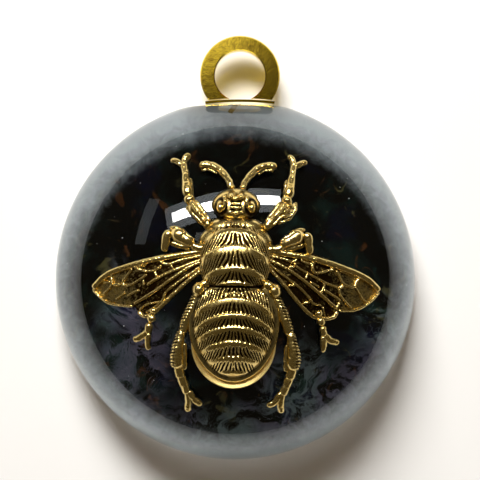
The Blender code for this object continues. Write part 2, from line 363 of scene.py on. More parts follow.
def warped(tree, spot, scale, reach):
    """The spot pushed aside by coarse noise, as ink is by a comb."""
    push = add_node(tree, "ShaderNodeTexNoise", {"Vector": spot, "Scale": scale, "Detail": 3.0})
    centred = add_node(tree, "ShaderNodeVectorMath", operation="SUBTRACT")
    feed(centred.inputs[0], out(push, "Color"))
    centred.inputs[1].default_value = (0.5, 0.5, 0.5)
    moved = add_node(tree, "ShaderNodeVectorMath", operation="MULTIPLY_ADD")
    feed(moved.inputs[0], out(centred))
    feed(moved.inputs[1], reach)
    feed(moved.inputs[2], spot)
    return out(moved)


marbling, size, leave = shader_group(
    "MarbledInk",
    {"Spot": "Vector", "Swirl": "Float", "Haze": "Float"},
    {"Colour": "Color"},
)
# A wide comb moves all the ink, and a fine one curls it.
combed = warped(marbling, size["Spot"], 0.055, size["Swirl"])
curled = warped(marbling, combed, 0.22, size["Swirl"] * 0.25)
# Painted reflection of light from below: with the Haze input, the veils and pools gather low on the sheet.
where = smooth(noise(marbling, size["Spot"], 0.07, 2.0) + size["Haze"], 0.42, 0.62)
pools = smooth(noise(marbling, curled, 0.10, 3.0), 0.52, 0.66) * (0.3 + where * 0.7)
colour = mix_colour(marbling, pools, INK_BLACK, INK_NAVY)
greens = smooth(noise(marbling, curled, 0.16, 4.0, twist=0.6), 0.52, 0.70) * (0.5 + where * 0.5)
colour = mix_colour(marbling, greens, colour, INK_TEAL)
# Drops of olive and rust
drops = noise(marbling, combed, 0.30, 3.0, twist=1.2)
tints = noise(marbling, size["Spot"], 0.09, 1.0)
warm = mix_colour(marbling, smooth(tints, 0.45, 0.55), INK_OLIVE, INK_RUST)
colour = mix_colour(marbling, smooth(drops, 0.60, 0.72), colour, warm)
# Pale veils and hair lines of ink, gathered low on the sheet as a painted reflection of light from below
swirls = noise(marbling, curled, 0.14, 5.0, 0.6, twist=1.0)
veils = (swirls - 0.5).math("ABSOLUTE")
cool = mix_colour(marbling, smooth(tints, 0.40, 0.60), HAZE_INK_AND_REFLECTION, LILAC_INK_AND_REFLECTION)
colour = mix_colour(marbling, (1 - smooth(veils, 0.01, 0.09)) * where * 0.55, colour, cool)
hairs = (noise(marbling, curled, 0.34, 4.0, twist=2.0) - 0.5).math("ABSOLUTE")
colour = mix_colour(marbling, (1 - smooth(hairs, 0.002, 0.012)) * where * 0.5, colour, cool)
feed(leave["Colour"], colour)

paper, paper_shader = new_material("marbled_paper", Roughness=0.6, Specular_IOR_Level=0.0)
spot = object_spot(paper.node_tree)
apart = add_node(paper.node_tree, "ShaderNodeSeparateXYZ", {"Vector": spot})
up = (out(apart, "Z") - DISC.z / MM) / (DOME_R / MM)
aside = (out(apart, "X") - DISC.x / MM) / (DOME_R / MM)
# Haze grows towards the bottom of the sheet: painted reflection of light from below, laid over the veils of
# ink.
inks = use_group(paper, marbling, Spot=spot, Swirl=14.0, Haze=up * -0.42 - 0.17)
# Painted light: the sheet greys towards the rim, sooner at the top and bottom and most at the top, for the
# wall's light that the resin's rim reflects and lets through.
reach = (up * up + aside * aside).math("SQRT")
reach = reach + up.math("ABSOLUTE") * 0.05 + up.math("MAXIMUM", 0) * 0.08
streaked = noise(paper.node_tree, spot, 0.5, 4.0, 0.6, twist=1.0)
painted_rim_light = smooth(reach + (streaked - 0.5) * 0.06, RIM_LIGHT_BEGINS, RIM_LIGHT_FULL) * (0.75 + streaked * 0.5)
colour = mix_colour(paper.node_tree, painted_rim_light, out(inks, "Colour"), RIM_LIGHT_GREY)
ink_ends, cream_begins = [(paper_low.y + depth) / MM for depth in (INK_DEPTH, 2 * INK_DEPTH)]
behind = smooth(out(apart, "Y"), ink_ends, cream_begins)
fibres = noise(paper.node_tree, spot, 5.0, 6.0, 0.7)
cream = mix_colour(paper.node_tree, smooth(fibres, 0.35, 0.65), PAPER_CREAM, PAPER_FIBRE)
feed(paper_shader.inputs["Base Color"], mix_colour(paper.node_tree, behind, colour, cream))
bump(paper_shader, fibres, 0.02 * MM)

PAPER_SIZES = {
    **DOME_SIZES,
    "Radius": (paper_high.x - paper_low.x) / 2,
    "Back": paper_high.y,
    "Rim Front": paper_low.y,
    "Rise": 0.0,
}
sheet = make_piece("marbled_paper_disc", turned_tree("TurnedSheet", 1), paper, PAPER_SIZES, crease=30)
fix(sheet, "marbled_paper")


# ---- The bee's body -------------------------------------------------------------------------
# The middle of one brass casting: abdomen and thorax, each an egg-shaped swelling on the dome. Fur
# strokes are cast in, and dark patina stays in them when the high places are rubbed bright. Places
# are in millimetres from the dome's middle, to the right and up.

R, RISE, RIM_FRONT = DOME_R / MM, DOME_RISE / MM, RIM_Y / MM
BEE_TURN = math.radians(1.0)
BEE_SHIFT = 0.35  # the casting is glued on this far right of the middle
EDGE_HEIGHT = 0.1
SUNK = 0.15  # the casting's underside stands this deep in the glue

bee_place = Matrix.Translation(DISC) @ Matrix.Diagonal((MM, MM, MM, 1))
body_place = bee_place @ Matrix.Translation((BEE_SHIFT, 0, 0)) @ Matrix.Rotation(BEE_TURN, 4, "Y")

PATINA = (0.016, 0.007, 0.001, 1)
BRASS_RUBBED = (0.92, 0.70, 0.27, 1)
BRASS_AGED = (0.66, 0.44, 0.09, 1)
BRASS_ROUGHNESS = 0.31

casting, size, leave = shader_group(
    "AgedBrass",
    {"Spot": "Vector", "Recess": "Float", "Polish": "Float"},
    {"Colour": "Color", "Roughness": "Float", "Height": "Float"},
)
mottle = noise(casting, size["Spot"], 0.55, 4.0, 0.6)
grain = noise(casting, size["Spot"], 6.0, 3.0, 0.6)
held = smooth(size["Recess"] + (mottle - 0.5) * 0.4, 0.20, 0.62)
rubbed = smooth(mottle * 0.7 + size["Polish"] * 0.6, 0.35, 0.75)
metal = mix_colour(casting, rubbed, BRASS_AGED, BRASS_RUBBED)
feed(leave["Colour"], mix_colour(casting, held, metal, PATINA))
feed(leave["Roughness"], BRASS_ROUGHNESS - rubbed * 0.09 + held * 0.2 + (grain - 0.5) * 0.16)
feed(leave["Height"], grain)


def brass_finish(name, polish, grain_height, rougher=0.0):
    material, shader = new_material(name, Metallic=1.0)
    tree = material.node_tree
    recess = out(add_node(tree, "ShaderNodeAttribute", attribute_name="recess"), "Fac")
    aged = use_group(material, casting, Spot=object_spot(tree), Recess=recess, Polish=polish)
    feed(shader.inputs["Base Color"], out(aged, "Colour"))
    feed(shader.inputs["Roughness"], out(aged, "Roughness") + rougher)
    bump(shader, out(aged, "Height"), grain_height)
    return material


bee_brass = brass_finish("antiqued_brass", 0.5, 0.01 * MM)
matt_brass = brass_finish("matt_brass", 1.0, 0.05 * MM, rougher=0.32)


def dome_front(x, z):
    """The y of the dome's front, for wires or numbers."""
    inside = 1 - (x * x + z * z) / R**2
    root = inside.math("MAXIMUM", 0.0).math("SQRT") if isinstance(inside, Wire) else math.sqrt(inside)
    return RIM_FRONT - RISE * root


def store(tree, geometry, name, value):
    inputs = {"Geometry": geometry, "Name": name, "Value": value}
    return out(add_node(tree, "GeometryNodeStoreNamedAttribute", inputs, data_type="FLOAT"))


def stored(tree, name):
    return out(add_node(tree, "GeometryNodeInputNamedAttribute", {"Name": name}, data_type="FLOAT"))


def follow(value, points):
    """The height of a curve through (value, height) points."""
    places, heights = zip(*points)
    low, high = min(places), max(places)
    base, span = min(heights), max(heights) - min(heights)
    share = (value - low) / (high - low)
    node = add_node(value.tree, "ShaderNodeFloatCurve", {"Value": share})
    line = node.mapping.curves[0]
    ordered = [((x - low) / (high - low), (y - base) / span) for x, y in sorted(points)]
    line.points[0].location, line.points[1].location = ordered[0], ordered[-1]
    for spot in ordered[1:-1]:
        line.points.new(*spot)
    node.mapping.update()
    return out(node) * span + base


def push_out(tree, geometry, distance):
    """Moves each point along its normal."""
    normal = out(add_node(tree, "GeometryNodeInputNormal"))
    offset = add_node(tree, "ShaderNodeVectorMath", operation="SCALE")
    feed(offset.inputs[0], normal)
    feed(offset.inputs["Scale"], distance)
    return out(add_node(tree, "GeometryNodeSetPosition", {"Geometry": geometry, "Offset": out(offset)}))


# One row of fur, from one crest to the next: (share of the row, height)
ROW_FORM = [(0.0, 1.0), (0.12, 0.97), (0.32, 0.72), (0.6, 0.3), (0.8, 0.0), (0.9, 0.2), (1.0, 1.0)]

BODY_SIZES = [
    "Aside", "Along", "Half Width", "Half Length", "Height", "Broad End", "Steepness", "Arch", "Ridge",
    "Stroke Pitch", "Stroke Depth", "Stroke Lean", "Bead", "Fur Edge", "Waist", "Patina", "Lip",
]
BEAD_CROWN = 0.24  # how far up the swelling's edge the bead runs, and the patina line beside it
BESIDE_BEAD = 0.36
EDGE_LUMPS = 0.06
FINE_HAIR = 0.14  # the height of the fine hair between the strokes
WAIST_DEPTH = 0.5
STROKE_PATINA = 1.2
HOLLOW_PATINA = 0.12


def body_tree(name, fineness, crests=()):
    """A closed swelling on the dome, with rows of fur strokes between crests. The crests are
    (place along the body, number) points."""
    tree, size = shape_tree(name, BODY_SIZES)
    inputs = {"Size": (2, 2, 2), "Vertices X": fineness, "Vertices Y": fineness, "Vertices Z": 2}
    block = out(add_node(tree, "GeometryNodeMeshCube", inputs), "Mesh")
    u, v, side = place_of(tree)
    top = side.math("GREATER_THAN", 0)
    # A square grid drawn out into a disc, then into half an egg
    wide = u * (1 - v * v / 2).math("SQRT")
    long = v * (1 - u * u / 2).math("SQRT")
    reach = (wide * wide + long * long).math("SQRT").math("MINIMUM", 1)
    turn = reach * (math.pi / 2)
    share = turn.math("SINE") / reach.math("MAXIMUM", 1e-4)
    crown = turn.math("COSINE").math("MAXIMUM", 0)
    long = long * share
    x = size["Aside"] + size["Half Width"] * wide * share * (1 + size["Broad End"] * long)
    z = size["Along"] + size["Half Length"] * long
    lip = (1 - smooth(crown, 0.12, 0.70)) * smooth(crown, 0.0, 0.07) * size["Lip"]
    height = (size["Height"] * crown ** size["Steepness"] + lip + EDGE_HEIGHT) * top - SUNK
    block = store(tree, block, "crown", crown * top)
    block = put(tree, block, x, dome_front(x, z) - height, z)

    x, y, z = place_of(tree)
    crown = stored(tree, "crown")
    aside = (x - size["Aside"]).math("ABSOLUTE")
    bead = 1 - smooth((crown - BEAD_CROWN).math("ABSOLUTE"), 0.04, 0.13)
    lump = noise(tree, out(add_node(tree, "GeometryNodeInputPosition")), 0.9, 2.0) - 0.5
    raise_by = bead * size["Bead"] + lump * EDGE_LUMPS * smooth(crown, 0.0, 0.2)
    beside = 1 - smooth((crown - BESIDE_BEAD).math("ABSOLUTE"), 0.03, 0.10)
    recess = beside * smooth(size["Bead"], 0.0, 0.2) * 0.45
    if crests:
        row = follow(z + size["Arch"] * aside * aside, crests)
        part = row.math("FRACT")
        fade = smooth(crown, size["Fur Edge"], size["Fur Edge"] + 0.2)
        form = follow(part, ROW_FORM)
        lie = out(add_node(tree, "ShaderNodeCombineXYZ", {"X": x * 0.9, "Y": row.math("FLOOR") * 3.7}))
        luck = noise(tree, lie, 1.3, 1.0) - 0.5  # some strokes are cast longer than others
        begun = smooth(part + luck * 0.4, 0.24, 0.44)
        ended = smooth(part + luck * 0.2, 0.84, 0.98)
        furred = begun * (1 - ended) * fade
        slant = size["Stroke Lean"] * part * (0.2 + smooth(aside, 0.0, 4.0))
        count = (aside - slant) / size["Stroke Pitch"] + row.math("FLOOR") * 0.37
        wobble = noise(tree, out(add_node(tree, "GeometryNodeInputPosition")), 0.5, 1.0) - 0.5
        wave = ((count + wobble * 0.8) * (2 * math.pi)).math("COSINE")
        stroke = smooth(wave + furred - 1, -0.40, 0.30) * smooth(furred, 0.0, 0.3)
        lie = out(add_node(tree, "ShaderNodeCombineXYZ", {"X": count * 1.7, "Y": row * 1.3}))
        hair = (noise(tree, lie, 1.0, 2.0) - 0.5) * fade
        raise_by = raise_by + form * size["Ridge"] * fade - stroke * size["Stroke Depth"] + hair * FINE_HAIR
        recess = recess + stroke * STROKE_PATINA + (1 - form) * fade * HOLLOW_PATINA
    waisted = size["Waist"].math("ABSOLUTE").math("MINIMUM", 1)
    groove = (1 - smooth((z - size["Waist"]).math("ABSOLUTE"), 0.1, 0.55)) * waisted
    raise_by = raise_by - groove * WAIST_DEPTH
    recess = recess + groove + size["Patina"]
    block = store(tree, block, "recess", recess)
    block = store(tree, block, "raise", raise_by * crown.math("GREATER_THAN", 0.001))
    block = push_out(tree, block, stored(tree, "raise"))
    end_tree(tree, block, size["Material"])
    return tree


def body_piece(name, tree, finish=bee_brass, **sizes):
    """One swelling of the bee. Sizes that aren't given are zero."""
    given = {key.replace("_", " "): float(value) for key, value in sizes.items()}
    values = {key: given.get(key, 0.0) for key in BODY_SIZES}
    return make_piece(name, tree, finish, values, place=body_place)


def join(name, pieces):
    """One object from several."""
    bm = bmesh.new()
    for piece in pieces:
        bm.from_mesh(piece.data)
    mesh = bpy.data.meshes.new(name)
    bm.to_mesh(mesh)
    bm.free()
    mesh.materials.append(pieces[0].data.materials[0])
    for piece in pieces:
        bpy.data.objects.remove(piece)
    whole = bpy.data.objects.new(name, mesh)
    bpy.context.scene.collection.objects.link(whole)
    return whole


BODY_ASIDE = -0.4  # the body is a little left of the middle between the legs
WAIST_Z = -0.7

ABDOMEN_CRESTS = [
    (0.9, -1), (-2.8, 0), (-5.8, 1), (-8.3, 2), (-11.2, 3), (-14.2, 4), (-17.4, 5), (-21.0, 6),
]
abdomen = body_piece(
    "bee_abdomen", body_tree("FurredAbdomen", 190, ABDOMEN_CRESTS), Aside=BODY_ASIDE, Along=-8.75,
    Half_Width=8.5, Half_Length=10.5, Height=5.35, Broad_End=0.10, Steepness=0.85, Arch=0.055, Ridge=0.22,
    Stroke_Pitch=0.58, Stroke_Depth=0.32, Stroke_Lean=1.2, Bead=0.62, Fur_Edge=0.32, Waist=WAIST_Z,
)
fix(abdomen, "bee")

# A matt lip turned up round the abdomen's lower half
skirt = body_piece(
    "bee_abdomen_skirt", body_tree("AbdomenSkirt", 110), matt_brass, Aside=BODY_ASIDE, Along=-12.1,
    Half_Width=8.3, Half_Length=8.8, Height=0.9, Broad_End=0.02, Steepness=0.35, Patina=0.22, Lip=1.5,
)
fix(skirt, "bee")

THORAX_CRESTS = [(13.4, -1), (10.6, 0), (7.2, 1), (3.2, 2), (0.3, 3), (-1.8, 4)]
plain_tree = body_tree("PlainSwelling", 60)
thorax = body_piece(
    "bee_thorax_upper", body_tree("FurredThorax", 170, THORAX_CRESTS), Aside=BODY_ASIDE, Along=4.0,
    Half_Width=7.0, Half_Length=8.5, Height=5.3, Broad_End=0.03, Steepness=0.7, Arch=0.06, Ridge=0.20,
    Stroke_Pitch=0.58, Stroke_Depth=0.30, Stroke_Lean=1.8, Fur_Edge=0.12, Waist=WAIST_Z,
)
collar = body_piece(
    "collar", plain_tree, Aside=BODY_ASIDE, Along=8.2, Half_Width=7.2, Half_Length=4.4, Height=2.9,
    Broad_End=-0.15, Steepness=0.5, Patina=0.30,
)
neck = body_piece(
    "neck", plain_tree, Aside=BODY_ASIDE, Along=10.9, Half_Width=5.6, Half_Length=2.2, Height=2.9,
    Steepness=0.6, Patina=0.2,
)
thorax = join("bee_thorax", [thorax, collar, neck])
fix(thorax, "bee")


# ---- The bee's limbs ------------------------------------------------------------------------
# Legs, claws and antennae, cast with the body. Each is a tapering round bar that lies on the dome,
# with hair grooves slanting across it. A bar's points are (right, up, thickness, lift), and a fifth
# number puts hair on that side of it.

LIMB_SIZES = ["Step", "Hair Pitch", "Hair Depth", "Hair Lean", "Low Patina", "Lumps"]
LUMP_SHINE = 2.2  # how much barer the lumps are rubbed


def limb_tree(name, sides=18):
    """Sweeps a round section along each line, with rounded ends and slanting hair grooves."""
    tree, size = shape_tree(name, LIMB_SIZES)
    line = out(add_node(tree, "GeometryNodeMeshToCurve", {"Mesh": size["Geometry"]}))
    line = out(add_node(tree, "GeometryNodeCurveSplineType", {"Curve": line}, spline_type="CATMULL_ROM"))
    inputs = {"Curve": line, "Length": size["Step"]}
    line = out(add_node(tree, "GeometryNodeResampleCurve", inputs, mode="LENGTH"))
    along = out(add_node(tree, "GeometryNodeSplineParameter"), "Length")
    whole = out(add_node(tree, "GeometryNodeSplineLength"), "Length")
    thick = stored(tree, "thickness")
    left = 1 - (along.math("MINIMUM", whole - along) / thick).math("MINIMUM", 1)
    radius = thick * (1.02 - left * left).math("SQRT")
    line = store(tree, line, "radius_here", radius)
    line = store(tree, line, "along", along)
    x, y, z = place_of(tree)
    inputs = {"X": x / R**2, "Y": (y - RIM_FRONT) / RISE**2, "Z": z / R**2}
    lean = add_node(tree, "ShaderNodeVectorMath", operation="NORMALIZE")
    feed(lean.inputs[0], out(add_node(tree, "ShaderNodeCombineXYZ", inputs)))
    inputs = {"Curve": line, "Normal": out(lean)}
    line = add_node(tree, "GeometryNodeSetCurveNormal", inputs, mode="FREE")
    ring = add_node(tree, "GeometryNodeCurvePrimitiveCircle", {"Resolution": sides, "Radius": 1.0})
    turn = out(add_node(tree, "GeometryNodeSplineParameter"), "Factor")
    section = store(tree, out(ring), "around", turn)
    inputs = {"Curve": out(line), "Profile Curve": section, "Scale": stored(tree, "radius_here")}
    bar = add_node(tree, "GeometryNodeCurveToMesh", {**inputs, "Fill Caps": True})
    angle = stored(tree, "around") * (2 * math.pi)
    count = stored(tree, "along") / size["Hair Pitch"] + angle.math("COSINE") * size["Hair Lean"]
    hairy = smooth(angle.math("SINE") * stored(tree, "hair") * -1, -0.1, 0.35)
    stroke = smooth((count * (2 * math.pi)).math("COSINE"), -0.1, 0.7) * hairy
    low = 1 - smooth(angle.math("COSINE"), 0.05, 0.80)
    lumps = noise(tree, out(add_node(tree, "GeometryNodeInputPosition")), 0.75, 2.0) - 0.5
    bar = store(tree, out(bar), "groove", stroke)
    bar = store(tree, bar, "recess", stroke + low * size["Low Patina"] - lumps * size["Lumps"] * LUMP_SHINE)
    bar = push_out(tree, bar, lumps * size["Lumps"] - stored(tree, "groove") * size["Hair Depth"])
    end_tree(tree, bar, size["Material"])
    return tree


def on_dome(x, z, lift):
    """A place over the dome's front, lifted along its normal."""
    y = dome_front(x, z)
    normal = Vector((x / R**2, (y - RIM_FRONT) / RISE**2, z / R**2)).normalized()
    return Vector((x, y, z)) + normal * lift


def lines_object(name, lines, place=on_dome):
    """A mesh of bare lines through (right, up, thickness, lift, hair) points."""
    verts, edges, thickness, hair = [], [], [], []
    for line in lines:
        first = len(verts)
        for x, z, thick, lift, *furred in line:
            verts.append(place(x, z, lift))
            thickness.append(thick)
            hair.append(furred[0] if furred else 0.0)
        edges += [(i, i + 1) for i in range(first, len(verts) - 1)]
    mesh = bpy.data.meshes.new(name)
    mesh.from_pydata(verts, edges, [])
    for key, values in (("thickness", thickness), ("hair", hair)):
        mesh.attributes.new(key, "FLOAT", "POINT").data.foreach_set("value", values)
    return bpy.data.objects.new(name, mesh)


def both_sides(lines):
    """The lines and their mirror images. The hair, the fifth number, changes sides with them."""
    mirrored = [[(-x, *rest[:3], *[-hair for hair in rest[3:]]) for x, *rest in line] for line in lines]
    return lines + mirrored


def shifted(lines, aside):
    """The lines, moved to the right."""
    return [[(x + aside, *rest) for x, *rest in line] for line in lines]


limbs = limb_tree("BrassLimb")
LEG = {
    "Step": 0.14,
    "Hair Pitch": 0.66,
    "Hair Depth": 0.24,
    "Hair Lean": 1.1,
    "Low Patina": 0.5,
    "Lumps": 0.5,
}


def limb_piece(name, lines, sizes=LEG, place=body_place):
    return make_piece(name, limbs, bee_brass, sizes, lines_object(name + "_lines", lines), place)


FRONT_LEG = [
    [(5.2, 10.3, 0.8, 1.0), (6.6, 12.1, 1.15, 1.2), (8.1, 13.9, 1.4, 1.3), (9.0, 15.2, 1.2, 1.3)],
    [(6.6, 10.9, 0.35, 1.7), (8.2, 12.6, 0.42, 1.9), (9.7, 14.4, 0.45, 1.6)],
    [(5.4, 11.7, 0.32, 1.7), (6.7, 13.5, 0.38, 2.1), (8.1, 15.4, 0.38, 2.0)],
    [(6.2, 11.4, 0.35, 2.3), (7.5, 13.2, 0.42, 2.7), (8.9, 15.2, 0.45, 2.4)],
    [(8.9, 14.7, 1.05, 1.6), (9.2, 15.6, 1.1, 1.8), (9.5, 16.7, 0.95, 1.6)],
    [(9.4, 16.1, 1.0, 1.3), (9.75, 17.6, 1.05, 1.5), (10.05, 19.2, 0.8, 1.3), (10.4, 21.1, 0.66, 1.1)],
    [(8.9, 16.3, 0.42, 1.2), (9.0, 17.9, 0.45, 1.3), (9.5, 20.0, 0.38, 1.0)],
    [(10.1, 19.6, 0.66, 1.1), (10.5, 21.7, 0.64, 0.95), (10.85, 23.1, 0.64, 0.85)],
    [(10.8, 22.6, 0.6, 0.8), (12.2, 23.4, 0.62, 0.8), (13.4, 23.7, 0.58, 0.7)],
    [(10.8, 22.6, 0.6, 0.85), (10.6, 23.7, 0.64, 0.9), (10.1, 24.5, 0.64, 0.9), (9.5, 24.3, 0.52, 0.8)],
]
THIGH_BARS = [
    [(8.0, 12.6, 0.3, 2.2), (9.2, 12.7, 0.36, 2.1), (10.2, 13.2, 0.3, 1.4)],
    [(8.5, 13.5, 0.3, 2.3), (9.7, 13.6, 0.36, 2.1), (10.6, 14.1, 0.3, 1.4)],
    [(9.0, 14.5, 0.3, 2.3), (10.1, 14.6, 0.36, 2.0), (10.9, 15.3, 0.3, 1.4)],
    [(7.7, 11.5, 0.35, 1.0), (9.8, 12.5, 0.42, 1.0), (10.9, 14.1, 0.44, 1.0), (11.1, 15.7, 0.42, 1.0)],
]
MID_LEG = [
    [(5.6, 6.5, 0.8, 1.2), (7.4, 6.6, 0.75, 1.2), (8.8, 7.1, 0.8, 1.3)],
    [(8.2, 7.1, 0.8, 1.4), (9.8, 8.1, 1.25, 1.5), (11.3, 9.0, 1.55, 1.6), (12.7, 9.3, 1.25, 1.5)],
    [(8.2, 7.9, 0.3, 1.8), (9.9, 9.2, 0.36, 2.3), (11.6, 10.1, 0.4, 2.3), (12.9, 10.2, 0.34, 1.7)],
    [(12.6, 9.6, 0.9, 1.5), (13.4, 8.7, 1.0, 1.4), (13.8, 7.2, 0.85, 1.1), (14.0, 5.6, 0.66, 0.9)],
    [(9.0, 6.5, 0.5, 0.7), (11.0, 7.0, 0.6, 0.8), (13.0, 7.6, 0.6, 0.8)],
    [(15.9, -5.0, 0.85, 0.8), (16.2, -6.4, 0.8, 0.8)],
    [(16.2, -6.4, 0.85, 0.8), (16.6, -8.1, 0.8, 0.8)],
    [(16.6, -8.1, 0.82, 0.8), (17.0, -9.5, 0.72, 0.8), (17.1, -10.3, 0.66, 0.8)],
    [(16.9, -9.8, 0.66, 0.8), (18.5, -11.0, 0.66, 0.8), (20.1, -11.6, 0.6, 0.7)],
    [(17.0, -9.9, 0.66, 0.8), (17.1, -11.9, 0.66, 0.8), (17.0, -13.5, 0.6, 0.7)],
]
HIND_LEG = [
    [(4.6, 0.0, 0.75, 1.8), (5.9, -0.2, 0.8, 2.0), (6.8, -0.6, 0.8, 2.1)],
    [(6.5, 0.0, 0.9, 2.3), (7.1, -1.3, 1.25, 2.4), (7.7, -2.8, 0.9, 1.9)],
    [(7.5, -2.3, 0.8, 1.2, 1), (8.5, -4.8, 1.0, 1.3, 1), (9.5, -7.3, 1.1, 1.2, 1),
     (10.4, -9.9, 0.9, 1.1, 1)],
    [(10.3, -9.0, 0.7, 1.3), (10.8, -11.2, 1.05, 1.5, 0.6), (11.1, -13.2, 1.3, 1.5, 1),
     (11.2, -15.0, 1.5, 1.3, 1), (11.1, -16.8, 1.35, 1.1, 1)],
    [(9.9, -11.6, 0.42, 1.2), (9.7, -14.0, 0.5, 1.3), (9.8, -17.0, 0.5, 1.2)],
    [(11.1, -15.9, 1.0, 0.9), (10.5, -18.9, 1.0, 0.9)],
    [(10.6, -17.9, 0.95, 0.9), (9.8, -20.5, 0.95, 0.9)],
    [(10.1, -19.5, 0.9, 0.9), (9.2, -22.0, 0.85, 0.8)],
    [(9.2, -21.2, 0.72, 0.8), (7.8, -23.2, 0.74, 0.8), (6.3, -24.2, 0.68, 0.7)],
    [(9.2, -21.4, 0.72, 0.8), (9.0, -23.8, 0.72, 0.8), (9.3, -25.6, 0.66, 0.7)],
]
legs = limb_piece("bee_legs", both_sides(FRONT_LEG + MID_LEG + HIND_LEG) + THIGH_BARS)
fix(legs, "bee")

ANTENNA = [
    [(0.9, 17.4, 0.75, 3.0), (1.25, 18.3, 0.68, 2.7)],
    [(1.1, 17.7, 0.66, 2.7), (1.5, 19.0, 0.66, 2.4), (2.4, 20.4, 0.70, 1.9), (3.8, 21.8, 0.72, 1.5),
     (5.3, 22.5, 0.74, 1.3), (6.6, 22.6, 0.76, 1.2), (7.4, 22.2, 0.74, 1.1)],
    [(3.9, 20.8, 0.22, 1.3), (4.9, 21.5, 0.28, 1.2), (5.9, 21.8, 0.3, 1.1), (7.0, 21.7, 0.3, 1.0)],
]
feelers = limb_piece("bee_antennae", shifted(both_sides(ANTENNA), BODY_ASIDE / 2))
fix(feelers, "bee")


# ---- The bee's head -------------------------------------------------------------------------
# The casting's head: a broad swelling with oval eyes, two forehead knobs and a ridged mouth.

head = [
    body_piece("skull", body_tree("HeadSwelling", 90), Aside=BODY_ASIDE, Along=15.5, Half_Width=4.75,
               Half_Length=3.1, Height=3.3, Broad_End=-0.12, Steepness=0.5, Patina=0.25),
    body_piece("muzzle", plain_tree, Aside=BODY_ASIDE, Along=14.9, Half_Width=1.5, Half_Length=2.3,
               Height=4.1, Steepness=0.5, Patina=0.6),
]
for side in (-1, 1):
    head.append(body_piece("socket", plain_tree, Aside=BODY_ASIDE + side * 2.8, Along=14.8, Half_Width=1.45,
                           Half_Length=2.0, Height=3.85, Steepness=0.4, Patina=0.75))
    head.append(body_piece("eye", plain_tree, Aside=BODY_ASIDE + side * 3.1, Along=14.85, Half_Width=1.0,
                           Half_Length=1.5, Height=4.4, Steepness=0.45))
    head.append(body_piece("knob", plain_tree, Aside=BODY_ASIDE + side * 0.95, Along=16.8, Half_Width=0.95,
                           Half_Length=1.05, Height=5.2, Steepness=0.5))
FACE = [
    [(-0.7, 15.3, 0.45, 4.3), (0.7, 15.3, 0.45, 4.3)],
    [(-0.95, 14.35, 0.26, 4.2), (0.95, 14.35, 0.26, 4.2)],
    [(-1.1, 13.75, 0.26, 4.0), (0.0, 13.65, 0.28, 4.05), (1.1, 13.75, 0.26, 4.0)],
    [(-1.5, 13.1, 0.3, 3.4), (0.0, 12.9, 0.36, 3.6), (1.5, 13.1, 0.3, 3.4)],
]
CHEEK = [(2.3, 16.1, 0.3, 3.7), (1.95, 15.1, 0.36, 4.1), (2.1, 14.1, 0.32, 3.9), (2.6, 13.3, 0.26, 3.4)]
face = limb_piece("face", shifted(FACE + both_sides([CHEEK]), BODY_ASIDE))
head = join("bee_head", [*head, face])
fix(head, "bee")


# ---- The bee's wings ------------------------------------------------------------------------
# Four thin wings of the same casting, lying on the dome. Raised veins and a thick front rib stand
# round sunk cells, which hold the patina.

WING_SIZES = ["Floor"]
BLADE_SUNK = 0.12
CELL_PATINA = 0.66
TIP_BARENESS = 0.28
STREAK_PATINA = 1.1
STREAK_HEIGHT = 0.22


def blade_tree(name, long=150, wide=70):
    """A closed blade on the dome between two edge lines, with finely streaked cells."""
    tree, size = shape_tree(name, WING_SIZES)
    edges = out(add_node(tree, "GeometryNodeMeshToCurve", {"Mesh": size["Geometry"]}))
    edges = out(add_node(tree, "GeometryNodeCurveSplineType", {"Curve": edges}, spline_type="CATMULL_ROM"))
    inputs = {"Size": (2, 2, 2), "Vertices X": long, "Vertices Y": wide, "Vertices Z": 2}
    block = out(add_node(tree, "GeometryNodeMeshCube", inputs), "Mesh")
    u, v, side = place_of(tree)
    top = side.math("GREATER_THAN", 0)
    share = (v + 1) / 2
    spots = []
    for number in (0, 1):
        edge = add_node(tree, "GeometryNodeSampleCurve", mode="FACTOR", use_all_curves=False)
        feed(edge.inputs["Curves"], edges)
        feed(edge.inputs["Factor"], (u + 1) / 2)
        feed(edge.inputs["Curve Index"], number)
        apart = add_node(tree, "ShaderNodeSeparateXYZ", {"Vector": out(edge, "Position")})
        spots.append([out(apart, axis) for axis in "XZ"])
    (x0, z0), (x1, z1) = spots
    x, z = x0 + (x1 - x0) * share, z0 + (z1 - z0) * share
    block = store(tree, block, "top", top)
    height = size["Floor"] * top - BLADE_SUNK
    block = put(tree, block, x, dome_front(x, z) - height, z)
    position = out(add_node(tree, "GeometryNodeInputPosition"))
    streaks = noise(tree, position, 2.4, 2.0, twist=1.5) - 0.5
    bare = smooth(place_of(tree)[0].math("ABSOLUTE"), 17.0, 25.0)  # the tips are rubbed barer
    recess = CELL_PATINA - bare * TIP_BARENESS + streaks * STREAK_PATINA
    block = store(tree, block, "recess", recess)
    block = push_out(tree, block, streaks * stored(tree, "top") * STREAK_HEIGHT)
    end_tree(tree, block, size["Material"])
    return tree


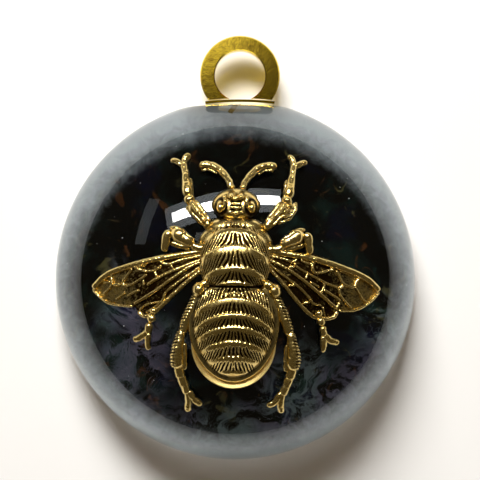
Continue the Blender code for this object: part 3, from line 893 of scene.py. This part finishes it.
# Edges, as (outwards, up) points from the root to the tip
FORE_LEFT_TOP = [(6.0, 6.6), (13.4, 5.7), (18.4, 4.5), (23.4, 2.8), (26.7, 0.5), (28.3, -1.4)]
FORE_LEFT_REAR = [(6.0, 4.0), (10.5, 2.1), (15.7, -1.7), (19.8, -4.8), (25.0, -4.3), (28.2, -1.7)]
HIND_LEFT_TOP = [(6.0, 4.4), (10.5, 2.4), (15.7, -1.4), (19.6, -4.6)]
HIND_LEFT_REAR = [(6.0, 2.2), (9.4, -0.5), (13.4, -4.1), (15.6, -6.3), (17.6, -7.0), (19.5, -5.4)]
FORE_RIGHT_TOP = [(6.0, 6.6), (15.2, 5.6), (19.8, 3.9), (24.4, 1.7), (27.4, -0.2), (28.8, -2.0)]
FORE_RIGHT_REAR = [
    (6.0, 4.2), (10.6, 2.2), (15.2, -1.4), (19.8, -5.4), (23.6, -5.7), (26.7, -4.2), (28.7, -2.3),
]
HIND_RIGHT_TOP = [(6.0, 4.4), (10.6, 2.4), (15.2, -1.1), (19.9, -5.2)]
HIND_RIGHT_REAR = [(6.0, 3.2), (9.1, -0.3), (13.2, -5.2), (15.2, -6.8), (17.5, -7.5), (20.0, -5.8)]

blades = blade_tree("WingBlade")


def blade_piece(name, top, rear, side, floor):
    edges = [[(x * side, z, 0.0, 0.0) for x, z in line] for line in (top, rear)]
    outline = lines_object(name + "_edges", edges)
    return make_piece(name, blades, bee_brass, {"Floor": floor}, outline, bee_place)


# Veins, as (outwards, up) points after the vein's thickness. The first is the front rib.
LEFT_VEINS = [
    (0.60, [(5.5, 6.2), (13.0, 5.0), (19.2, 3.6), (25.0, 1.5), (28.0, -1.3)]),
    (0.25, [(28.1, -1.5), (25.0, -4.1), (20.0, -4.7)]),
    (0.30, [(5.5, 5.5), (10.4, 4.4), (12.9, 3.6), (14.6, 4.2)]),
    (0.26, [(12.4, 3.4), (11.9, 2.6)]),
    (0.30, [(14.2, 3.4), (15.6, 2.4), (17.7, 2.3), (19.8, 3.1)]),
    (0.28, [(17.1, 3.6), (19.2, 2.9)]),
    (0.36, [(5.5, 4.9), (11.4, 2.6), (14.6, 1.1), (17.1, -0.5)]),
    (0.30, [(15.6, 2.3), (15.1, 1.1)]),
    (0.42, [(14.9, 1.0), (14.3, 1.3)]),
    (0.28, [(17.1, 1.6), (19.7, -0.2), (21.2, -0.7)]),
    (0.26, [(17.9, 0.6), (17.6, -0.5)]),
    (0.30, [(20.0, 2.8), (21.0, 1.4), (21.9, -0.1), (21.2, -0.7)]),
    (0.40, [(23.8, -0.4), (22.3, -0.4)]),
    (0.28, [(18.6, -1.4), (21.0, -2.6)]),
    (0.26, [(26.0, 0.0), (24.4, 0.0)]),
    (0.26, [(24.4, 1.5), (24.1, -0.2), (24.6, -1.1), (26.0, -2.5)]),
    (0.20, [(21.4, -2.0), (23.4, -3.4)]),
    (0.34, [(5.5, 4.3), (8.4, 3.3), (11.8, 1.1), (15.9, -1.9), (19.7, -4.2)]),
    (0.44, [(5.8, 3.0), (9.4, 0.1), (13.4, -3.7), (15.9, -6.0), (17.6, -6.5), (18.9, -5.6)]),
    (0.28, [(6.0, 3.6), (10.9, 0.2), (13.4, -1.9), (14.2, -3.7), (17.4, -5.9)]),
    (0.26, [(14.1, -3.6), (17.2, -4.3), (18.6, -5.4)]),
]
RIGHT_VEINS = [
    (0.64, [(5.5, 6.2), (13.0, 5.1), (19.5, 3.3), (25.5, 0.8), (28.4, -1.8)]),
    (0.28, [(28.5, -2.1), (26.6, -4.0), (23.6, -5.5), (20.3, -5.5)]),
    (0.28, [(5.5, 5.6), (9.8, 4.5), (11.1, 4.0), (12.1, 4.6)]),
    (0.32, [(12.7, 4.4), (14.3, 3.7), (15.6, 3.8)]),
    (0.34, [(15.0, 3.7), (15.2, 2.3), (16.2, 1.9), (19.3, 2.6)]),
    (0.36, [(10.2, 2.9), (11.6, 3.2)]),
    (0.28, [(11.8, 3.9), (11.9, 3.2), (14.0, 1.9), (17.3, 0.1), (20.2, -1.2)]),
    (0.28, [(14.1, 1.9), (13.7, 0.7)]),
    (0.30, [(19.8, 2.4), (21.0, -0.1), (22.2, -0.8), (23.3, -0.9), (23.9, 0.2), (24.4, 0.8)]),
    (0.22, [(20.5, 2.2), (24.1, 0.7)]),
    (0.34, [(21.2, -0.5), (20.2, -1.3)]),
    (0.28, [(20.2, -1.2), (20.7, -2.8), (22.8, -5.1)]),
    (0.20, [(23.6, -0.9), (25.1, -3.3), (26.3, -4.1)]),
    (0.26, [(17.3, 0.0), (17.2, -1.2), (16.5, -2.1)]),
    (0.30, [(17.2, -1.4), (19.5, -2.8), (20.6, -3.7)]),
    (0.22, [(14.6, 0.2), (16.4, -0.9)]),
    (0.24, [(20.5, -3.8), (19.8, -5.1)]),
    (0.36, [(5.5, 5.0), (10.6, 2.4), (15.2, -1.1), (19.8, -5.1)]),
    (0.42, [(5.8, 3.8), (9.1, 0.0), (13.2, -4.9), (15.4, -6.6), (17.5, -7.1), (19.4, -6.6), (19.8, -5.6)]),
    (0.28, [(6.2, 4.0), (8.8, 1.9), (12.1, -0.6), (14.3, -2.8), (15.2, -4.1), (16.8, -4.4)]),
    (0.30, [(10.3, -0.5), (11.7, -0.5)]),
    (0.30, [(13.2, -4.1), (14.5, -3.7)]),
    (0.22, [(17.0, -4.6), (17.6, -6.9)]),
]
VEIN = {**LEG, "Low Patina": 0.2, "Lumps": 0.25}
VEIN_LIFT = 0.5


def vein_lines(veins, side):
    return [[(x * side, z, thick, VEIN_LIFT + thick * 0.4) for x, z in line] for thick, line in veins]


wings = [
    blade_piece("fore_left", FORE_LEFT_TOP, FORE_LEFT_REAR, -1, 0.5),
    blade_piece("fore_right", FORE_RIGHT_TOP, FORE_RIGHT_REAR, 1, 0.5),
    blade_piece("hind_left", HIND_LEFT_TOP, HIND_LEFT_REAR, -1, 0.4),
    blade_piece("hind_right", HIND_RIGHT_TOP, HIND_RIGHT_REAR, 1, 0.4),
    limb_piece("veins", vein_lines(LEFT_VEINS, -1) + vein_lines(RIGHT_VEINS, 1), VEIN, bee_place),
]
wings = join("bee_wings", wings)
fix(wings, "bee")


# ---- Hanger ---------------------------------------------------------------------------------
# A flat brass ring stands on a thin saddle plate, and both are polished. A dull brass pin goes from
# the plate at a slant into the resin.

SCUFFS_PER_MM = 0.6
POLISHED_BRASS = (0.90, 0.66, 0.07, 1)
TARNISHED_BRASS = (0.62, 0.42, 0.05, 1)
PIN_BRASS = (0.20, 0.15, 0.06, 1)


def polished_finish(name, bright, dull, roughness):
    material, shader = new_material(name, Metallic=1.0)
    tree = material.node_tree
    spot = object_spot(tree)
    scuffs = noise(tree, spot, SCUFFS_PER_MM, 4.0, 0.7)
    feed(shader.inputs["Base Color"], mix_colour(tree, smooth(scuffs, 0.42, 0.72), bright, dull))
    feed(shader.inputs["Roughness"], roughness + scuffs * 0.08)
    bump(shader, noise(tree, spot, 3.0, 3.0), 0.006 * MM)
    return material


ring_brass = polished_finish("polished_brass", POLISHED_BRASS, TARNISHED_BRASS, roughness=0.06)
pin_brass = polished_finish("pin_brass", PIN_BRASS, PIN_BRASS, roughness=0.35)
hanger_finishes = {"hanger_pin": pin_brass, "hanger_plate": ring_brass, "hanger_ring": ring_brass}
for node, finish in hanger_finishes.items():
    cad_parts[node].data.materials.clear()
    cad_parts[node].data.materials.append(finish)


# ---- Stage, light and camera ----------------------------------------------------------------
# A pale wall just behind the flat back, a pale floor below, and a dim warm room. A long window above
# and in front, with its wider pane, a side window and a card, are what the brass and the resin
# reflect. Two softer lights from above give the shadow, and one behind lights the back.

WALL_Y = paper_high.y + 0.4 * MM
FLOOR_Z = -0.9
REACH = 2.0  # the wall and the floor end this far out

PLASTER = (0.85, 0.84, 0.82, 1)
FLOOR_GREY = (0.78, 0.77, 0.75, 1)


def flat_sheet(name, corners):
    mesh = bpy.data.meshes.new(name)
    mesh.from_pydata(corners, [], [tuple(range(len(corners)))])
    sheet = bpy.data.objects.new(name, mesh)
    bpy.context.scene.collection.objects.link(sheet)
    return sheet


CORNERS = ((-REACH, -REACH), (REACH, -REACH), (REACH, REACH), (-REACH, REACH))
wall = flat_sheet("wall", [(x, WALL_Y, z) for x, z in CORNERS])
wall_finish = bpy.data.materials.new("wall")
wall_finish.use_nodes = True
tree = wall_finish.node_tree
tree.nodes.clear()
glow = add_node(tree, "ShaderNodeEmission", {"Color": (1.0, 0.98, 0.94, 1), "Strength": 0.01})
plaster = add_node(tree, "ShaderNodeBsdfDiffuse", {"Color": PLASTER})
lit = add_node(tree, "ShaderNodeAddShader")
tree.links.new(glow.outputs[0], lit.inputs[0])
tree.links.new(plaster.outputs[0], lit.inputs[1])
clear = add_node(tree, "ShaderNodeBsdfTransparent")  # the wall isn't seen from behind
one_way = add_node(tree, "ShaderNodeMixShader")
feed(one_way.inputs[0], out(add_node(tree, "ShaderNodeNewGeometry"), "Backfacing"))
tree.links.new(lit.outputs[0], one_way.inputs[1])
tree.links.new(clear.outputs[0], one_way.inputs[2])
leave = add_node(tree, "ShaderNodeOutputMaterial")
tree.links.new(one_way.outputs[0], leave.inputs["Surface"])
wall.data.materials.append(wall_finish)
wall.visible_shadow = False

floor = flat_sheet("floor", [(x, y, FLOOR_Z) for x, y in CORNERS])
floor_finish, _ = new_material(
    "floor", Base_Color=FLOOR_GREY, Roughness=0.8, Emission_Color=(1.0, 0.98, 0.95, 1), Emission_Strength=0.5
)
floor.data.materials.append(floor_finish)
floor.visible_glossy = False
floor.visible_diffuse = False


def soft_light(name, place, target, width, height, power, spread=180, colour=(1, 1, 1)):
    data = bpy.data.lights.new(name, "AREA")
    data.shape = "RECTANGLE"
    data.spread = math.radians(spread)
    data.size, data.size_y = width, height
    data.energy = power
    data.color = colour
    light = bpy.data.objects.new(name, data)
    light.location = place
    light.rotation_euler = (Vector(target) - Vector(place)).to_track_quat("-Z", "Y").to_euler()
    bpy.context.scene.collection.objects.link(light)
    return light


MIDDLE = (0, 0, -0.04)
LOW_MIDDLE = (0, 0, -0.05)
WINDOW_TILT = math.radians(11)

window = soft_light(
    "window", (-0.07, -0.82, 0.495), MIDDLE, width=0.86, height=0.085, power=4.2, spread=110,
)
pane = soft_light(
    "pane", (-0.07, -0.83, 0.505), MIDDLE, width=1.0, height=0.22, power=0.65, spread=110,
    colour=(0.9, 0.96, 1.0),
)
for bar in (window, pane):
    bar.rotation_euler.rotate_axis("Z", WINDOW_TILT)
soft_light(
    "side_window", (-0.59, -0.58, 0.33), MIDDLE, width=0.10, height=0.33, power=0.024, spread=110,
    colour=(0.95, 1.0, 0.97),
)
card = soft_light(
    "card", (-0.175, -1.15, 0.253), (0, 0.3, -0.04), width=0.37, height=0.22, power=0.26,
    colour=(1.0, 0.95, 0.85),
)
daylight = soft_light(
    "daylight", (-0.17, -0.66, 0.76), LOW_MIDDLE, width=0.60, height=0.30, power=4.2, spread=110,
    colour=(1.0, 0.99, 0.96),
)
sky = soft_light(
    "sky", (-0.18, -0.60, 0.85), LOW_MIDDLE, width=0.6, height=0.3, power=4.6, spread=110,
)
for reflected in (window, pane, card):
    reflected.visible_diffuse = False
for unreflected in (daylight, sky):
    unreflected.visible_glossy = False
soft_light("behind", (0.3, 0.9, 0.5), MIDDLE, width=0.8, height=0.8, power=6.0)

ROOM_REFLECTED = (0.06, 0.049, 0.028, 1)
ROOM_GLOW = (0.075, 0.043, 0.012, 1)
ROOM_SEEN = (0.86, 0.86, 0.85, 1)

world = bpy.data.worlds.new("room")
bpy.context.scene.world = world
world.use_nodes = True
tree = world.node_tree
background = tree.nodes["Background"]
ray = add_node(tree, "ShaderNodeLightPath")
bounced = out(ray, "Diffuse Depth").math("MINIMUM", 1)
seen = out(ray, "Is Camera Ray") + out(ray, "Is Transmission Ray") * (1 - bounced)
seen = seen.math("MINIMUM", 1)
room = mix_colour(tree, out(ray, "Is Diffuse Ray"), ROOM_REFLECTED, ROOM_GLOW)
feed(background.inputs["Color"], mix_colour(tree, seen, room, ROOM_SEEN))

camera_data = bpy.data.cameras.new("camera")
camera_data.lens = 107.0  # millimetres, as is the sensor
camera_data.sensor_width = 36.0
camera = bpy.data.objects.new("camera", camera_data)
camera.location = (0, -0.300, -0.0397)  # level, and 30 cm in front
camera.rotation_euler = (math.pi / 2, 0, 0)
bpy.context.scene.collection.objects.link(camera)
bpy.context.scene.camera = camera
bpy.context.scene.view_settings.view_transform = "Standard"
